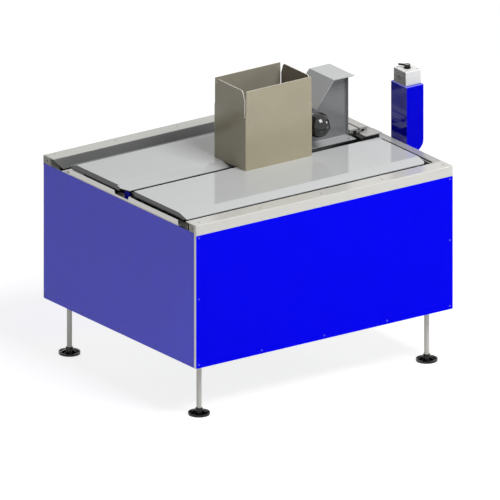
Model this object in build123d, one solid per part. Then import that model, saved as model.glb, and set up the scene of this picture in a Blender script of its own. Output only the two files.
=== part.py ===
from build123d import *
import math
import os

# Box forming machine. All sizes in millimetres.
# Places are written from the body's left face (x), its front face (y) and the floor (z).
# The finished model is shifted so that the origin is under the middle of the whole machine.

# Body
body_width = 1200.0          # left face to right face
body_depth = 1006.0          # front face to rear face
rail_top = 795.0             # floor to the top of the rail covers
panel_bottom = 217.0         # floor to the lower edge of the panels
sheet = 3.0                  # panels, covers and folded tables
panel_corner_radius = 5.0    # lower corners of the front and rear panels
strip_width = 10.0           # bare aluminium strip beside each front corner

# Frame of square aluminium profile
profile = 45.0               # side of the profile
profile_wall = 4.0
profile_corner = 3.0
core_width = 14.0            # square core in the middle of the profile
core_bore = 6.8              # screw hole along the core
web_thickness = 2.5          # diagonal webs from core to corners

# Covers on the rails
cover_lip = 41.5             # height of the outer lip, top face included
cover_width = 68.0           # front and rear cover, across the rail
side_cover_width = 43.0      # right cover
rear_flange_height = 48.0    # inner flange of the rear cover, top face included
cover_bend = 3.0             # outer bend radius

# Left ledge under the table edges
ledge_drop = 33.0            # rail top to ledge top, and to the left panel's top edge
ledge_height = 27.0
ledge_end_front = 123.0      # front face to the ledge's front end
ledge_end_rear = 116.0       # rear face to the ledge's rear end

# Tables
table_rise = 14.0            # rail top to table top
flange_height = 23.0         # side flanges, bent down
front_table_left = 15.0
front_table_right_gap = 25.0 # table to the right cover
front_table_gap = 14.0       # front cover to the table
front_table_slope = 49.0     # run of the front sloping band
front_table_rear = 430.0     # front face to the slot
front_notch_depth = 34.0     # cut into the rear edge beside the guide
front_notch_left = 650.0
front_table_corner = 16.0    # rounded ends of the sloping band
rear_table_left = 10.0
rear_table_gap = 8.0         # slot rail to the rear table
rear_table_front_slope = 45.0  # run of the front sloping band
rear_table_slope = 44.0      # run of the rear sloping band
trench_width = 92.0          # rear table to the rear cover
rear_band_overhang = 7.0     # front band past the left flange
rear_band_chamfer = 25.0

# Bearers that carry the tables
bearer_width = 40.0
bearer_clearance = 2.0       # bearer to the side flanges above it
bearer_end_gap = 3.0         # from the table's side flange
bearer_fit = 0.5             # bearer to the right side member
front_bearer_insets = (118.0, 80.0)  # front table's front and rear edge to its bearers
rear_bearer_insets = (102.0, 96.0)   # the same on the rear table

# Rail under the slot between the tables
slot_rail_width = 40.0
slot_rail_height = 20.0
slot_rail_drop = 5.0         # rail top to the top of the slot rail
slot_rail_left = 30.0
slot_foot_length = 18.0
slot_bracket_gap = 6.0
slot_bracket_width = 30.0

# Guide beam of slotted profile
beam_right_gap = 26.0        # beam to the right cover
beam_width = 80.0
beam_height = 40.0
beam_lead = 12.0             # rear table's front edge to the beam's front end
beam_rear_setback = 8.0      # from the body's rear face
beam_corner = 1.5
beam_slot = 8.0              # slot mouth
beam_slot_lip = 4.0          # thickness beside the mouth
beam_slot_inner = 16.0
beam_slot_depth = 10.0
beam_chamber_width = 16.0
beam_chamber_height = 26.0
beam_chamber_offset = 19.0   # beam's middle to each chamber's middle
table_beam_gap = 6.0

# End block and plate at the beam's front end
block_inset = 9.0            # beam's left side to the block's
block_right_gap = 7.0        # block to the right cover
block_front_gap = 12.0       # front table to the block
block_rise = 22.0            # rail top to block top
block_radius = 8.0
end_plate_inset = 18.0       # block's left side to the plate's
end_plate_overhang = 10.0    # plate past the block's right side
end_plate_thickness = 4.0
end_plate_radius = 12.0
end_plate_front_inset = 2.0

# Side guide with its hood
guide_width = 211.0          # left edge to the beam's left side
guide_setback = 23.0         # beam's front end to the plate's front face
guide_base_depth = 63.0      # base flange, in front of the upright plate
guide_height = 267.0         # rail top to the hood's underside
guide_lip = 12.0             # forward lip on the right edge
guide_shoulder = 150.0       # rail top to the upright plate's left shoulder
hood_lead = 51.0             # hood's front edge to the upright plate
hood_length = 164.0
hood_level = 94.0            # width of the level part
hood_run = 83.0              # run of the slope
hood_drop = 103.0
bracket_size = 60.0
bracket_thickness = 5.0

# Ball handle
knob_radius = 50.0
knob_height = 115.5          # rail top to the ball's centre
knob_setback = 77.0          # upright plate to the ball's centre
knob_gap = 5.0               # ball to carton
knob_flat_radius = 16.0
stem_radius = 8.0
stem_collar_radius = 14.0
stem_collar_height = 6.0

# Carton on the tables
carton_gap = 34.0            # carton to the guide's left edge
carton_width = 312.0
carton_lead = 60.0           # carton's front to the slot
carton_depth = 208.0
carton_height = 216.0
flap_height = 104.0
board = 4.0
flap_slot = 4.0              # cut beside each flap
flap_taper = 18.0
flap_taper_height = 40.0
flap_radius = 14.0

# Control column
column_gap = 3.0             # thickness of its fixing plate
column_width = 78.0
column_depth = 104.0
column_front = 307.0
column_rise = 227.0          # rail top to column top
column_drop = 42.0           # rail top to column bottom
column_arc = 44.0
column_rim = 3.0             # bevel round the top
fixing_plate_depth = 64.0

# Switch on the column
switch_width = 72.0
switch_depth = 80.0
switch_height = 56.0
switch_round = 5.0
collar_radius = 14.5
collar_height = 3.0
lever_head_radius = 11.5
lever_head_height = 12.0
lever_gap = 0.3
lever_length = 36.0
lever_width = 7.0
lever_thickness = 6.0
lever_angle = 128.0          # from +x, seen from above
ring_depth = 2.5
ring_wall = 3.5

# Legs
leg_inset_x = 68.0
leg_inset_y = 76.0
rod_radius = 10.0
rod_fit = 0.1
corner_plate = 112.0
corner_plate_thickness = 8.0
pan_thickness = 2.0
pad_radius = 42.0
pad_thickness = 6.0
rim_height = 9.0
rim_width = 4.0
hub_radius = 16.0
hub_height = 27.0
hub_dome = 7.0
rib_count = 8
rib_width = 4.0
rib_height = 12.0
socket_depth = 15.0

# Places that follow from the sizes above
overall_width = body_width + column_gap + column_width
shift = Pos(-overall_width / 2, -body_depth / 2, 0)
under_cover = rail_top - sheet
rail_bottom = under_cover - profile
panel_top = rail_top - cover_lip
inner_left = sheet + profile
inner_right = body_width - sheet - profile
inner_front = sheet + profile
inner_rear = body_depth - sheet - profile
plate_top = panel_bottom + corner_plate_thickness
ledge_top = rail_top - ledge_drop
ledge_bottom = ledge_top - ledge_height
table_top = rail_top + table_rise
table_under = table_top - sheet
bearer_top = table_top - flange_height - bearer_clearance
bearer_height = bearer_top - ledge_top
front_table_right = body_width - side_cover_width - front_table_right_gap
front_table_front = cover_width + front_table_gap
front_table_bend = front_table_front + front_table_slope
front_notch_rear = front_table_rear - front_notch_depth
slot_rail_front = front_table_rear
rear_table_front = slot_rail_front + slot_rail_width + rear_table_gap
rear_table_bend = rear_table_front + rear_table_front_slope
rear_table_rear = body_depth - cover_width - trench_width
rear_table_rear_bend = rear_table_rear - rear_table_slope
beam_left = body_width - side_cover_width - beam_right_gap - beam_width
beam_front = rear_table_front - beam_lead
rear_table_right = beam_left - table_beam_gap
block_left = beam_left + block_inset
block_right = body_width - side_cover_width - block_right_gap
block_front = front_notch_rear + block_front_gap
end_plate_left = block_left + end_plate_inset
end_plate_right = block_right + end_plate_overhang
guide_left = beam_left - guide_width
guide_face = beam_front + guide_setback
guide_base_front = guide_face - guide_base_depth
hood_front = guide_face - hood_lead
hood_bend = beam_left - hood_level
hood_low_end = hood_bend - hood_run
carton_right = guide_left - carton_gap
carton_left = carton_right - carton_width
carton_front = front_table_rear - carton_lead
carton_rear = carton_front + carton_depth
wall_top = table_top + carton_height
flap_top = wall_top + flap_height
column_left = body_width + column_gap
column_right = column_left + column_width
column_top = rail_top + column_rise
column_bottom = rail_top - column_drop
column_mid_x = column_left + column_width / 2
column_mid_y = column_front + column_depth / 2
knob_x = carton_right + knob_gap + knob_radius
knob_y = guide_face - knob_setback
knob_z = rail_top + knob_height

parts = {}


def block(x0, x1, y0, y1, z0, z1):
    """A box between two corners."""
    return Pos(x0, y0, z0) * Box(x1 - x0, y1 - y0, z1 - z0, align=(Align.MIN, Align.MIN, Align.MIN))


def folded_outline(points, thickness):
    """The section of a folded sheet: its outer line and, to the right of it, its inner line."""
    steps = [Vector(*b) - Vector(*a) for a, b in zip(points, points[1:])]
    normals = [Vector(s.Y, -s.X).normalized() for s in steps]
    inner = [Vector(*points[0]) + normals[0] * thickness]
    for corner, before, after in zip(points[1:-1], normals, normals[1:]):
        middle = (before + after).normalized()
        inner.append(Vector(*corner) + middle * (thickness / middle.dot(before)))
    inner.append(Vector(*points[-1]) + normals[-1] * thickness)
    loop = [tuple(p)[:2] for p in [Vector(*p) for p in points] + inner[::-1]]
    return make_face(Polyline(*loop, close=True))


def along_x(section, x0, x1):
    """Extrudes a section drawn in (y, z) from x0 to x1."""
    return extrude(Plane((x0, 0, 0), x_dir=(0, 1, 0), z_dir=(1, 0, 0)) * section, x1 - x0)


def along_y(section, y0, y1):
    """Extrudes a section drawn in (x, z) from y0 to y1."""
    return extrude(Plane((0, y0, 0), x_dir=(1, 0, 0), z_dir=(0, -1, 0)) * section, -(y1 - y0))


def polygon(points):
    return make_face(Polyline(*points, close=True))


def profile_section():
    """Square aluminium profile: outer wall, core with a screw hole, four diagonal webs."""
    hollow = profile - 2 * profile_wall
    web = Rectangle(hollow * math.sqrt(2), web_thickness)
    inside = Rectangle(hollow, hollow)
    webs = inside & (Rot(0, 0, 45) * web + Rot(0, 0, -45) * web)
    filled = webs + Rectangle(core_width, core_width) - Circle(core_bore / 2)
    return RectangleRounded(profile, profile, profile_corner) - inside + filled


def profile_bar(axis, start, end, u, v):
    """A length of profile along an axis; u and v are the low corner across it."""
    mid_u, mid_v = u + profile / 2, v + profile / 2
    section = profile_section()
    if axis == "x":
        return along_x(Pos(mid_u, mid_v) * section, start, end)
    if axis == "y":
        return along_y(Pos(mid_u, mid_v) * section, start, end)
    return extrude(Pos(mid_u, mid_v, start) * section, end - start)


def make_panels():
    """Four blue panels, bare strips at the front corners and the bottom pan."""
    face = block(0, body_width, 0, sheet, panel_bottom, panel_top)
    lower = face.edges().filter_by(Axis.Y).sort_by(Axis.Z)[:2]
    parts["front_panel"] = fillet(lower, panel_corner_radius)
    parts["rear_panel"] = Pos(0, body_depth - sheet, 0) * parts["front_panel"]
    side_front = sheet + strip_width
    side_rear = body_depth - sheet
    parts["left_panel"] = block(0, sheet, side_front, side_rear, panel_bottom, ledge_top)
    right = body_width - sheet
    parts["right_panel"] = block(right, body_width, side_front, side_rear, panel_bottom, panel_top)
    strips = [block(x, x + sheet, sheet, side_front, panel_bottom, under_cover) for x in (0, right)]
    parts["corner_strips"] = Compound(strips)
    parts["bottom_pan"] = block(
        inner_left, inner_right, inner_front, inner_rear, plate_top, plate_top + pan_thickness
    )


def make_frame():
    """Posts, bottom rails, top rails and side members of aluminium profile."""
    bottom = []
    for side, x in (("left", sheet), ("right", inner_right)):
        parts[f"post_front_{side}"] = profile_bar("z", plate_top, rail_bottom, x, sheet)
        parts[f"post_rear_{side}"] = profile_bar("z", plate_top, rail_bottom, x, inner_rear)
        bottom.append(profile_bar("y", inner_front, inner_rear, x, plate_top))
    for end, y in (("front", sheet), ("rear", inner_rear)):
        parts[f"top_rail_{end}"] = profile_bar("x", sheet, body_width - sheet, y, rail_bottom)
        bottom.append(profile_bar("x", inner_left, inner_right, y, plate_top))
    parts["bottom_rails"] = Compound(bottom)
    parts["side_member_left"] = profile_bar(
        "y", inner_front, inner_rear, sheet, ledge_bottom - profile
    )
    parts["side_member_right"] = profile_bar("y", inner_front, inner_rear, inner_right, rail_bottom)


def make_covers():
    """Folded covers on the rails and the ledge that closes the left side."""
    front = folded_outline([(0, panel_top), (0, rail_top), (cover_width, rail_top)], sheet)
    parts["front_cover"] = round_bends(along_x(front, 0, body_width), Axis.X, rail_top)
    inner = body_depth - cover_width
    rear = folded_outline(
        [
            (inner, rail_top - rear_flange_height),
            (inner, rail_top),
            (body_depth, rail_top),
            (body_depth, panel_top),
        ],
        sheet,
    )
    channel = round_bends(along_x(rear, 0, body_width), Axis.X, rail_top)
    flange_low = rail_top - rear_flange_height
    mitre = polygon([(0, under_cover), (0, flange_low), (profile, flange_low)])
    channel -= along_y(mitre, inner, inner + sheet)
    channel -= block(inner_right, body_width, inner, inner + sheet, flange_low, under_cover)
    parts["rear_cover"] = channel
    side_x = body_width - side_cover_width
    side = folded_outline([(side_x, rail_top), (body_width, rail_top), (body_width, panel_top)], sheet)
    right = along_y(side, cover_width, inner)
    parts["right_cover"] = round_bends(right, Axis.Y, rail_top)
    ledge = folded_outline(
        [(sheet, ledge_bottom), (sheet, ledge_top), (inner_left, ledge_top), (inner_left, ledge_bottom)],
        sheet,
    )
    parts["left_ledge"] = along_y(ledge, ledge_end_front, body_depth - ledge_end_rear)


def round_bends(solid, axis, height):
    """Rounds the outer corner of each square bend at a height."""
    low = solid.bounding_box().min
    high = solid.bounding_box().max
    bends = []
    for edge in solid.edges().filter_by(axis):
        mid = edge.center()
        across, first, last = (mid.Y, low.Y, high.Y) if axis == Axis.X else (mid.X, low.X, high.X)
        outer = abs(mid.Z - height) < 0.01 and min(abs(across - first), abs(across - last)) < 0.01
        bent = any(
            abs(e.center().Z - height) > 2 * sheet
            and abs((e.center().Y if axis == Axis.X else e.center().X) - across) < 0.01
            for e in solid.edges().filter_by(axis)
        )
        if outer and bent:
            bends.append(edge)
    return fillet(bends, cover_bend)


def make_tables():
    """The two folded tables, the bearers under them and their spacers."""
    top = folded_outline(
        [(front_table_front, rail_top), (front_table_bend, table_top), (front_table_rear, table_top)],
        sheet,
    )
    table = along_x(top, front_table_left, front_table_right)
    low = table_top - flange_height
    cheek = polygon(
        [
            (front_table_front, rail_top),
            (front_table_bend, table_top),
            (front_table_rear, table_top),
            (front_table_rear, low),
            (front_table_bend - flange_height, low),
        ]
    )
    table += along_x(cheek, front_table_left, front_table_left + sheet)
    table += along_x(cheek, front_table_right - sheet, front_table_right)
    table -= block(
        front_notch_left, front_table_right, front_notch_rear, front_table_rear, low - sheet, table_top
    )
    table -= corner_cut(front_table_right, front_table_front, -1, front_table_corner, low)
    table -= corner_cut(front_table_left, front_table_front, 1, front_table_corner / 4, low)
    parts["front_table"] = table

    top = folded_outline(
        [
            (rear_table_front, rail_top),
            (rear_table_bend, table_top),
            (rear_table_rear_bend, table_top),
            (rear_table_rear, rail_top),
        ],
        sheet,
    )
    band_left = rear_table_left - rear_band_overhang
    table = along_x(top, band_left, rear_table_right)
    table -= block(band_left, rear_table_left, rear_table_bend, rear_table_rear, low, table_top)
    chamfer = [
        (band_left, rear_table_front),
        (band_left + rear_band_chamfer, rear_table_front),
        (band_left, rear_table_front + rear_band_chamfer),
    ]
    table -= Pos(0, 0, low) * extrude(polygon(chamfer), table_top - low)
    cheek = polygon(
        [
            (rear_table_bend, table_top),
            (rear_table_rear_bend, table_top),
            (rear_table_rear, rail_top),
            (rear_table_rear - flange_height, low),
            (rear_table_bend, low),
        ]
    )
    table += along_x(cheek, rear_table_left, rear_table_left + sheet)
    table += along_x(cheek, rear_table_right - sheet, rear_table_right)
    parts["rear_table"] = table

    left = front_table_left + sheet + bearer_end_gap
    span = folded_outline([(0, 0), (0, bearer_height), (bearer_width, bearer_height), (bearer_width, 0)], sheet)
    bearers = []
    spacers = []
    for front, rear, insets, table_right in (
        (front_table_front, front_table_rear, front_bearer_insets, front_table_right),
        (rear_table_front, rear_table_rear, rear_bearer_insets, rear_table_right),
    ):
        right = table_right - sheet - bearer_end_gap
        for y in (front + insets[0], rear - insets[1]):
            low_y = y - bearer_width / 2
            bearers.append(along_x(Pos(low_y, ledge_top) * span, left, inner_right - bearer_fit))
            spacers.append(block(left, right, low_y, low_y + bearer_width, bearer_top, table_under))
    parts["table_bearers"] = Compound(bearers)
    parts["table_spacers"] = Compound(spacers)


def corner_cut(x, y, inward, radius, low):
    """What rounding takes off an upright corner of a table; inward is the way to its middle."""
    square = Pos(x + inward * radius / 2, y + radius / 2) * Rectangle(radius, radius)
    waste = square - Pos(x + inward * radius, y + radius) * Circle(radius)
    return Pos(0, 0, low - sheet) * extrude(waste, table_top - low + 2 * sheet)


def make_slot_rail():
    """The black rail under the slot, its foot on the ledge and a blue bracket at its end."""
    top = rail_top - slot_rail_drop
    bottom = top - slot_rail_height
    rear = slot_rail_front + slot_rail_width
    parts["slot_rail"] = block(slot_rail_left, inner_right, slot_rail_front, rear, bottom, top)
    parts["slot_rail_foot"] = block(
        slot_rail_left, slot_rail_left + slot_foot_length, slot_rail_front, rear, ledge_top, bottom
    )
    right = slot_rail_left - slot_bracket_gap
    angle = folded_outline(
        [(right - slot_bracket_width / 2, ledge_top), (right, ledge_top), (right, top)], -sheet
    )
    parts["slot_bracket"] = along_y(angle, rear, rear + slot_bracket_width)


def make_beam():
    """The slotted guide beam, its end block and the plate on the block."""
    slot = Pos(0, beam_height / 2 - beam_slot_depth / 2) * Rectangle(beam_slot, beam_slot_depth)
    wide = beam_slot_depth - beam_slot_lip
    slot += Pos(0, beam_height / 2 - beam_slot_lip - wide / 2) * Rectangle(beam_slot_inner, wide)
    side_shift = (beam_width - beam_height) / 2
    section = RectangleRounded(beam_width, beam_height, beam_corner)
    section -= slot + Rot(0, 0, 180) * slot
    section -= Pos(side_shift, 0) * Rot(0, 0, -90) * slot
    section -= Pos(-side_shift, 0) * Rot(0, 0, 90) * slot
    chamber = Rectangle(beam_chamber_width, beam_chamber_height)
    section -= Pos(beam_chamber_offset, 0) * chamber
    section -= Pos(-beam_chamber_offset, 0) * chamber
    section = Pos(beam_left + beam_width / 2, rail_top + beam_height / 2) * section
    parts["guide_beam"] = along_y(section, beam_front, body_depth - beam_rear_setback)

    low = rail_top - slot_rail_drop
    high = rail_top + block_rise
    body = block(block_left, block_right, block_front, beam_front, low, high)
    ends = body.edges().filter_by(Axis.Z).group_by(Axis.Y)[0]
    parts["beam_end_block"] = fillet(ends, block_radius)
    plate = block(
        end_plate_left,
        end_plate_right,
        block_front + end_plate_front_inset,
        beam_front,
        high,
        high + end_plate_thickness,
    )
    parts["beam_end_plate"] = fillet(plate.edges().filter_by(Axis.Z), end_plate_radius)


def make_guide():
    """Upright guide plate with base flange and lip, the hood on it, its bracket and ball handle."""
    base = rail_top + table_rise
    top = rail_top + guide_height
    low_z = top - hood_drop
    outline = polygon(
        [
            (guide_left, base),
            (beam_left, base),
            (beam_left, top),
            (hood_bend, top),
            (hood_low_end, low_z),
            (guide_left, rail_top + guide_shoulder),
        ]
    )
    plate = along_y(outline, guide_face, guide_face + sheet)
    plate += block(guide_left, beam_left, guide_base_front, guide_face, base, base + sheet)
    plate += block(beam_left - sheet, beam_left, guide_face - guide_lip, guide_face, base, top)
    parts["guide_plate"] = plate

    hood = folded_outline([(hood_low_end, low_z), (hood_bend, top), (beam_left, top)], -sheet)
    parts["guide_hood"] = along_y(hood, hood_front, hood_front + hood_length)

    back = guide_face + sheet
    angle = folded_outline(
        [(beam_left - bracket_size, back), (beam_left, back), (beam_left, back + bracket_size)],
        -bracket_thickness,
    )
    parts["guide_bracket"] = Pos(0, 0, base) * extrude(angle, beam_height - table_rise)

    half = math.sqrt(knob_radius**2 - knob_flat_radius**2)
    ball = Sphere(knob_radius) - block(
        -knob_radius, knob_radius, half, knob_radius, -knob_radius, knob_radius
    )
    parts["guide_knob"] = Pos(knob_x, knob_y, knob_z) * ball
    to_back = Rot(-90, 0, 0)
    length = knob_setback - half
    stem = Cylinder(stem_radius, length, align=(Align.CENTER, Align.CENTER, Align.MIN))
    collar = Cylinder(
        stem_collar_radius, stem_collar_height, align=(Align.CENTER, Align.CENTER, Align.MAX)
    )
    stem += Pos(0, 0, length) * collar
    parts["knob_stem"] = Pos(knob_x, knob_y + half, knob_z) * to_back * stem


def make_carton():
    """A regular slotted carton: four walls with upright flaps, and the closed bottom."""
    front_flap = block(
        carton_left + flap_slot,
        carton_right - flap_slot,
        carton_front,
        carton_front + board,
        wall_top,
        flap_top,
    )
    front_wall = block(
        carton_left, carton_right, carton_front, carton_front + board, table_top, wall_top
    )
    parts["carton_front"] = front_wall + front_flap
    parts["carton_rear"] = Pos(0, carton_depth - board, 0) * parts["carton_front"]

    y0 = carton_front + board
    y1 = carton_rear - board
    shoulder = flap_top - flap_taper_height
    wall = polygon([(y0, table_top), (y1, table_top), (y1, wall_top), (y0, wall_top)])
    flap = polygon(
        [
            (y0 + flap_slot, wall_top),
            (y1 - flap_slot, wall_top),
            (y1 - flap_slot, shoulder),
            (y1 - flap_taper, flap_top),
            (y0 + flap_taper, flap_top),
            (y0 + flap_slot, shoulder),
        ]
    )
    flap = fillet(flap.vertices().group_by(Axis.Y)[-1], flap_radius)
    parts["carton_left"] = along_x(wall + flap, carton_left, carton_left + board)
    parts["carton_right"] = Pos(carton_width - board, 0, 0) * parts["carton_left"]
    parts["carton_bottom"] = block(
        carton_left + board, carton_right - board, y0, y1, table_top, table_top + board
    )


def make_column():
    """Control column on its fixing plate, with the switch box, collar and lever."""
    side = block(
        column_left, column_right, column_front, column_front + column_depth, column_bottom, column_top
    )
    low_edge = side.edges().filter_by(Axis.Y).sort_by(Axis.Z)[:2].sort_by(Axis.X)[-1]
    side = fillet(low_edge, column_arc)
    rim = side.faces().sort_by(Axis.Z)[-1].edges()
    parts["control_column"] = chamfer(rim, column_rim)
    parts["column_fixing_plate"] = block(
        body_width,
        column_left,
        column_mid_y - fixing_plate_depth / 2,
        column_mid_y + fixing_plate_depth / 2,
        panel_top,
        rail_top - cover_bend,
    )
    switch = Pos(column_mid_x, column_mid_y, column_top) * Box(
        switch_width, switch_depth, switch_height, align=(Align.CENTER, Align.CENTER, Align.MIN)
    )
    switch = fillet(switch.edges().filter_by(Axis.Z), switch_round)
    parts["switch_box"] = fillet(switch.faces().sort_by(Axis.Z)[-1].edges(), switch_round / 2)
    top = column_top + switch_height
    parts["switch_collar"] = Pos(column_mid_x, column_mid_y, top) * Cylinder(
        collar_radius, collar_height, align=(Align.CENTER, Align.CENTER, Align.MIN)
    )
    head = Cylinder(lever_head_radius, lever_head_height, align=(Align.CENTER, Align.CENTER, Align.MIN))
    recess = Cylinder(lever_head_radius - ring_wall, ring_depth, align=(Align.CENTER, Align.CENTER, Align.MAX))
    arm = block(
        0,
        lever_length - lever_width / 2,
        -lever_width / 2,
        lever_width / 2,
        lever_head_height - lever_thickness,
        lever_head_height,
    )
    tip = Pos(lever_length - lever_width / 2, 0, lever_head_height - lever_thickness) * Cylinder(
        lever_width / 2, lever_thickness, align=(Align.CENTER, Align.CENTER, Align.MIN)
    )
    lever = head + arm + tip - Pos(0, 0, lever_head_height) * recess
    place = Pos(column_mid_x, column_mid_y, top + collar_height + lever_gap)
    parts["switch_lever"] = place * Rot(0, 0, lever_angle) * lever


def make_foot():
    """A moulded levelling foot: pad with rim, radial ribs and a domed hub with a socket."""
    section = [
        (0, 0),
        (pad_radius, 0),
        (pad_radius, rim_height),
        (pad_radius - rim_width, rim_height),
        (pad_radius - rim_width, pad_thickness),
        (hub_radius, pad_thickness),
        (hub_radius, hub_height - hub_dome),
        (rod_radius + sheet, hub_height),
        (0, hub_height),
    ]
    foot = revolve(Plane.XZ * polygon(section), Axis.Z)
    rib = polygon(
        [
            (hub_radius - 1, pad_thickness - 1),
            (pad_radius - rim_width + 1, pad_thickness - 1),
            (pad_radius - rim_width + 1, rim_height - 1),
            (hub_radius - 1, rib_height + pad_thickness),
        ]
    )
    bar = extrude(Plane.XZ * rib, rib_width / 2, both=True)
    for turn in range(rib_count):
        foot += Rot(0, 0, (turn + 0.5) * 360 / rib_count) * bar
    socket = Cylinder(
        rod_radius + rod_fit, socket_depth, align=(Align.CENTER, Align.CENTER, Align.MAX)
    )
    return foot - Pos(0, 0, hub_height) * socket


def make_legs():
    """Threaded rods, moulded feet and the plates that hold the rods."""
    foot = make_foot()
    rod_bottom = hub_height - socket_depth
    rod = Cylinder(rod_radius, plate_top - rod_bottom, align=(Align.CENTER, Align.CENTER, Align.MIN))
    bore = Cylinder(rod_radius + rod_fit, plate_top, align=(Align.CENTER, Align.CENTER, Align.MIN))
    plates = []
    for side, x, plate_x in (
        ("left", leg_inset_x, sheet),
        ("right", body_width - leg_inset_x, body_width - sheet - corner_plate),
    ):
        for end, y, plate_y in (
            ("front", leg_inset_y, sheet),
            ("rear", body_depth - leg_inset_y, body_depth - sheet - corner_plate),
        ):
            parts[f"foot_{end}_{side}"] = Pos(x, y, 0) * foot
            parts[f"leg_rod_{end}_{side}"] = Pos(x, y, rod_bottom) * rod
            plate = block(
                plate_x, plate_x + corner_plate, plate_y, plate_y + corner_plate, panel_bottom, plate_top
            )
            plates.append(plate - Pos(x, y, 0) * bore)
    parts["corner_plates"] = Compound(plates)


make_panels()
make_frame()
make_covers()
make_tables()
make_slot_rail()
make_beam()
make_guide()
make_carton()
make_column()
make_legs()

os.makedirs("parts", exist_ok=True)
for name, shape in parts.items():
    export_step(shift * shape, f"parts/{name}.step")
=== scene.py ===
import math

import bmesh
import bpy
from mathutils import Matrix, Vector


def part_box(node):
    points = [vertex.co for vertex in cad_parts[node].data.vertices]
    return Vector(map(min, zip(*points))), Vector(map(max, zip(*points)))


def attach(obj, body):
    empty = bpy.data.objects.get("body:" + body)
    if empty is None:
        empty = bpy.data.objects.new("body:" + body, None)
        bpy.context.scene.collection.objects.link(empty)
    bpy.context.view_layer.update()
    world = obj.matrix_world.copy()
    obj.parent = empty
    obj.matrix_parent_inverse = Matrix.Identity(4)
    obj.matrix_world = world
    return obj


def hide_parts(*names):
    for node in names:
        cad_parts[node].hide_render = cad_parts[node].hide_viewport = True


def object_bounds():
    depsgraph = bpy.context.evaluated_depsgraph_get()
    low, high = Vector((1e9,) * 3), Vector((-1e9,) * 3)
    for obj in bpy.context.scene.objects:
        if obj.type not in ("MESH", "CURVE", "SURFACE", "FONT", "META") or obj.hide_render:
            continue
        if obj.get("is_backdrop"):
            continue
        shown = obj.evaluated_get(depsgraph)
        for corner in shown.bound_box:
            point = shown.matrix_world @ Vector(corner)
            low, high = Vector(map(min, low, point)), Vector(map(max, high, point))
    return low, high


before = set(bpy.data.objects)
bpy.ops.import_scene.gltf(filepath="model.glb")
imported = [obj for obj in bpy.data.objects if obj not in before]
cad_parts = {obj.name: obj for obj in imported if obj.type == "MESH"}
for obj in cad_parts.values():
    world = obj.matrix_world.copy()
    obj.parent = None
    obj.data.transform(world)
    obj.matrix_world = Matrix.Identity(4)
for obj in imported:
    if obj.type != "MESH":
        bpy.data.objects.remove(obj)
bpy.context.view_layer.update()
MM = 0.001  # one millimetre in the frame's metres


# The studio around the machine. The floor is pale and keeps a soft shadow, and the surround is
# white to the eye and in reflections, but weak as a light. A square lamp in front gives the
# front faces their full colour; weak ones at the right and behind keep those sides open.

def linear(code):
    """An sRGB hex colour as linear red, green, blue and alpha."""
    parts = [int(code[i:i + 2], 16) / 255 for i in (1, 3, 5)]
    curve = [c / 12.92 if c <= 0.04045 else ((c + 0.055) / 1.055) ** 2.4 for c in parts]
    return (*curve, 1.0)


def fill(tree, made, inputs):
    """Sets a node's inputs by name or number, each to a value or to another node's output."""
    for key, value in inputs.items():
        if isinstance(value, bpy.types.NodeSocket):
            tree.links.new(value, made.inputs[key])
        else:
            made.inputs[key].default_value = value


def add(tree, kind, inputs, **settings):
    """Adds a node with its settings, and sets or links its inputs."""
    made = tree.nodes.new(kind)
    for key, value in settings.items():
        setattr(made, key, value)
    fill(tree, made, inputs)
    return made


def seen_or_mirrored(tree):
    """1 for what the eye, a reflection or clear glass sees, and 0 for what lights the machine."""
    path = add(tree, "ShaderNodeLightPath", {})
    both = add(
        tree,
        "ShaderNodeMath",
        {0: path.outputs["Is Camera Ray"], 1: path.outputs["Is Glossy Ray"]},
        operation="MAXIMUM",
    )
    return add(
        tree,
        "ShaderNodeMath",
        {0: both.outputs[0], 1: path.outputs["Is Transmission Ray"]},
        operation="MAXIMUM",
    ).outputs[0]


surround_light = 0.17
world = bpy.data.worlds.new("white studio surround")
bpy.context.scene.world = world
world.use_nodes = True
tree = world.node_tree
glow = add(
    tree,
    "ShaderNodeMapRange",
    {"Value": seen_or_mirrored(tree), "To Min": surround_light, "To Max": 1.0},
)
fill(tree, tree.nodes["Background"], {"Color": linear("#ffffff"), "Strength": glow.outputs[0]})

floor_half = 30.0
floor_glow = 0.78
mesh = bpy.data.meshes.new("studio_floor")
bm = bmesh.new()
bmesh.ops.create_grid(bm, x_segments=1, y_segments=1, size=floor_half)
bm.to_mesh(mesh)
bm.free()
floor = bpy.data.objects.new("studio_floor", mesh)
bpy.context.scene.collection.objects.link(floor)
paint = bpy.data.materials.new("pale floor paint")
paint.use_nodes = True
tree = paint.node_tree
tree.nodes.remove(tree.nodes["Principled BSDF"])
lit = add(tree, "ShaderNodeBsdfDiffuse", {"Color": linear("#bcbcbc")})
white = add(tree, "ShaderNodeEmission", {"Color": linear("#ffffff"), "Strength": floor_glow})
shown = add(tree, "ShaderNodeAddShader", {0: lit.outputs[0], 1: white.outputs[0]})
bounce = add(tree, "ShaderNodeBsdfDiffuse", {"Color": linear("#f0f0f0")})
both = add(
    tree,
    "ShaderNodeMixShader",
    {0: seen_or_mirrored(tree), 1: bounce.outputs[0], 2: shown.outputs[0]},
)
fill(tree, tree.nodes["Material Output"], {"Surface": both.outputs[0]})
mesh.materials.append(paint)
floor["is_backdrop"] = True

target = Vector((0.0, 0.0, 0.6))  # about the middle of the machine, in metres
distance = 5.5
lamps = (
    # the way to the lamp, its width in metres and the light that it gives
    ("front lamp", Vector((0.08, -0.63, 0.77)), 2.3, 0.73),
    ("right lamp", Vector((0.83, -0.47, 0.29)), 1.0, 0.12),
    ("rear lamp", Vector((0.12, 0.95, 0.28)), 2.4, 0.16),
)
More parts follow.
